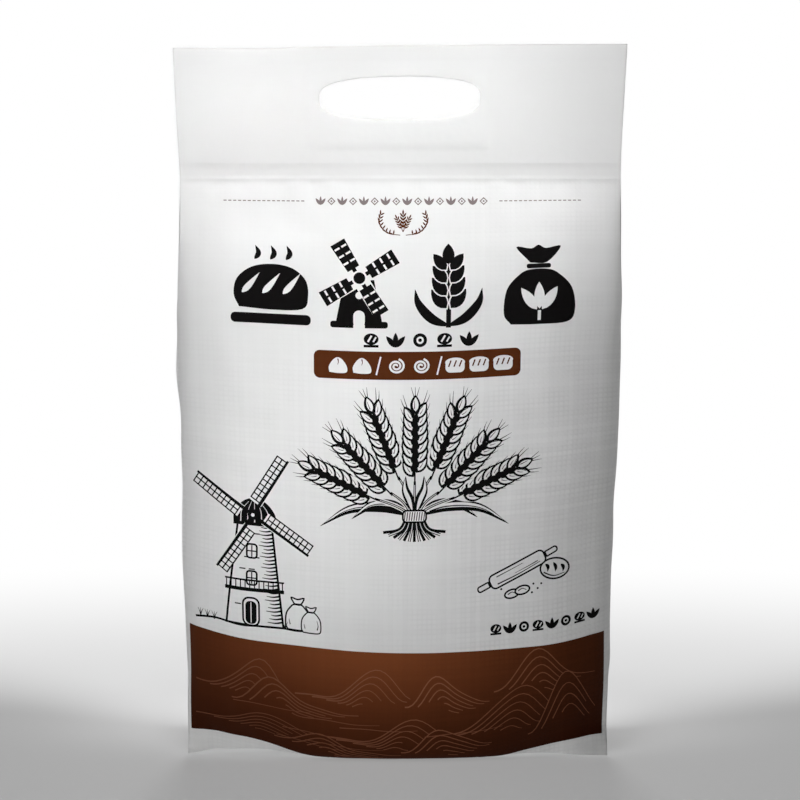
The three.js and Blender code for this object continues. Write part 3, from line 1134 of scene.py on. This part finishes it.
def hills(art):
    """Ridge lines of far hills and flat mist lines, fine on the brown band."""
    draw = np.random.default_rng(21)
    for x, y, reach, height, skew in RIDGES:
        t = np.linspace(-1, 1, 25)
        lean = t - skew * (1 - t * t)
        shape = (np.cos(np.pi * lean) + 1) / 2
        wobble = 0.9 * np.sin(7 * t + x) * (1 - t * t)
        crest = np.stack([x + reach * t, y + height * (shape**1.3 - 0.5) + wobble], -1)
        inner = crest[(crest[:, 0] > BAND_X[0] + 1.5) & (crest[:, 0] < BAND_X[-1] - 1.5)]
        foot = inner[[-1, 0]] - (0, 2)
        art.bare(np.concatenate([inner[::-1], foot[::-1]]))
        for k in range(6):
            share = 1 - 0.14 * k
            nested = inner * (share, 1) + (x * (1 - share), 0)
            low = nested[:, 1].min()
            nested[:, 1] = low + (nested[:, 1] - low) * (1 - 0.17 * k) - 0.9 * k
            nested = nested[2 * k : len(nested) - draw.integers(0, 3 + k)]
            if len(nested) > 6:
                art.line(nested, 0.78 - 0.05 * k, 0.36)
    for k in range(9):
        x, y = draw.uniform(-95, 60), 18 + 3.1 * k + draw.uniform(-1, 1)
        mist = curve([(x, y), (x + 14, y + 0.5), (x + 30, y - 0.3), (x + 44, y)])
        mist = mist[mist[:, 0] < BAND_X[-1] - 2]
        art.line(mist, 0.5, 0.2)


def table(art):
    """An empty ruled table for the back."""
    art.ink(rounded_box(0, 150, 150, 74, 3))
    for row in range(7):
        for x, width in ((-46.5, 52), (27, 90)):
            art.bare(box(x, 150 + 10.1 * (3 - row), width, 9.2))


def print_panels():
    for side, face in (("front", -1), ("back", 1)):
        black, brown, grey, foot, lines = (Print(face) for _ in range(5))
        dashes(grey, 322.5)
        fine_row(grey, 322.5)
        emblem(brown.at(2, 311))
        band(foot)
        hills(lines)
        title(black)
        if face < 0:
            small_signs(black, -15, 246.5, 5, 13.2, 1.25)
            pill(brown)
            sheaf(black.at(9, 152))
            windmill(black.at(-80, 87))
            bakery(black.at(69, 116))
            small_signs(black, 55, 87.5, 8, 7.9, 0.95)
        else:
            table(brown)
            small_signs(black, -45, 98, 7, 15, 1.1)
        black.piece(f"{side}_black_print", black_ink, "black_print")
        brown.piece(f"{side}_brown_print", brown_ink, "brown_print")
        grey.piece(f"{side}_grey_print", grey_ink, "grey_print")
        foot.piece(f"{side}_brown_band", band_ink_painted_glow, "brown_print")
        lines.piece(f"{side}_hill_lines", hill_ink_painted_glow, "brown_print", 2 * PRINT_LIFT)


print_panels()


# ---------------------------------------------------------------- studio
FLOOR_REACH = 5.0
FLOOR_GAP = 0.00045  # the floor lies a hair under the bag
NEAR_FLOOR, FAR_FLOOR = 0.18, 1.00  # the floor turns from lit paper into plain white light between these
FLOOR_GLOW = 0.55  # share of plain light in the near floor
SIDE_WHITE = 0.5  # whiteness at the sides and in front
BEHIND = (0.50, 0.88)  # it rises to full between these shares of a level direction that points backwards
HORIZON = (0.054, 0.115)  # sines of the heights over which the air turns dim
AIR_LIGHT = 0.05


def whiteness(nodes, direction):
    """How white the studio is in a direction: full behind the bag, and less at its sides and in front."""
    level = nodes.vector("MULTIPLY", direction, (1, 1, 0))[0]
    backwards = nodes.parts(nodes.vector("NORMALIZE", level)[0])[1]
    return nodes.between(backwards, BEHIND, (SIDE_WHITE, 1.0))


def pale_floor():
    """A pale floor that glows white far off, so that it meets the white horizon without an edge."""
    turn = np.linspace(0, 2 * np.pi, 96, endpoint=False)
    points = [(FLOOR_REACH * math.cos(t), FLOOR_REACH * math.sin(t), -FLOOR_GAP) for t in turn]
    mesh = bpy.data.meshes.new("floor")
    mesh.from_pydata(points, [], [list(range(len(points)))])
    nodes = Nodes(bpy.data.materials.new("floor_paper"))
    place = nodes.add("ShaderNodeTexCoord").outputs["Object"]
    paper = nodes.ramp(nodes.noise(place, 3.0), [(0.3, (0.88, 0.88, 0.88)), (0.7, (0.90, 0.90, 0.90))])
    nodes.feed(nodes.shader, {"Base Color": paper, "Roughness": 0.9})
    away = nodes.vector("LENGTH", place)["Value"]
    share = nodes.between(away, (NEAR_FLOOR, FAR_FLOOR), (FLOOR_GLOW, 1.0))
    glow = nodes.add("ShaderNodeEmission", {"Strength": whiteness(nodes, place)})
    both = nodes.add("ShaderNodeMixShader", {0: share, 1: nodes.shader.outputs[0], 2: glow.outputs[0]})
    nodes.feed(nodes.output, {"Surface": both.outputs[0]})
    mesh.materials.append(nodes.owner)
    floor = placed("floor", mesh)


def white_horizon():
    """Studio air that is white at the height of the horizon and dim above."""
    world = bpy.data.worlds.new("studio_air")
    nodes = Nodes(world, "ShaderNodeOutputWorld", "ShaderNodeBackground")
    direction = nodes.add("ShaderNodeTexCoord").outputs["Generated"]
    fall = nodes.between(nodes.parts(direction)[2], HORIZON, (1.0, AIR_LIGHT))
    strength = fall * whiteness(nodes, direction)
    nodes.feed(nodes.shader, {"Color": (1, 1, 1, 1), "Strength": strength})
    bpy.context.scene.world = world


def area_light(name, place, aim, size, power, spread=180):
    lamp = bpy.data.lights.new(name, "AREA")
    lamp.shape = "RECTANGLE"
    lamp.size, lamp.size_y = size
    lamp.energy = power
    lamp.spread = math.radians(spread)
    placed(name, lamp, place, Vector(aim) - Vector(place))


def lights():
    area_light("key", (-0.13, -0.42, 0.95), (-0.02, -0.02, 0.28), (0.25, 0.25), 0.105, spread=48)
    area_light("title", (-0.03, -0.50, 0.95), (-0.015, -0.02, 0.29), (0.1, 0.1), 0.054, spread=22)
    area_light("left_shoulder", (-0.11, -0.14, 1.0), (-0.105, 0.02, 0.335), (0.08, 0.03), 0.018, spread=14)
    area_light("right_shoulder", (0.09, -0.14, 1.0), (0.085, 0.02, 0.335), (0.12, 0.03), 0.024, spread=14)
    area_light("hand_band", (-0.02, -0.95, 0.50), (-0.02, 0, 0.368), (0.34, 0.03), 0.0365, spread=14)
    area_light("belly", (-0.10, -0.90, 0.45), (-0.055, -0.04, 0.15), (0.1, 0.1), 0.031, spread=18)
    area_light("fill", (-0.90, -1.9, 0.45), (0, 0, 0.20), (0.7, 0.7), 7.5)
    area_light("back", (0, 2.2, 1.3), (0, 0, 0.20), (0.5, 0.5), 2.2, spread=60)
    bpy.context.scene.view_settings.view_transform = "Standard"


CAMERA_DISTANCE = 1.9
CAMERA_ELEVATION = math.radians(3.5)
FRAME_WIDTH = 0.4376  # what the frame takes in at the bag's front


def camera():
    data = bpy.data.cameras.new("camera")
    data.sensor_width = 36
    data.lens = 36 * CAMERA_DISTANCE / FRAME_WIDTH
    target = Vector((0.0007, -BELLY_DEPTH / 4, 0.1972))
    away = Vector((0, -math.cos(CAMERA_ELEVATION), math.sin(CAMERA_ELEVATION)))
    bpy.context.scene.camera = placed("camera", data, target + CAMERA_DISTANCE * away, -away)


pale_floor()
white_horizon()
lights()
camera()
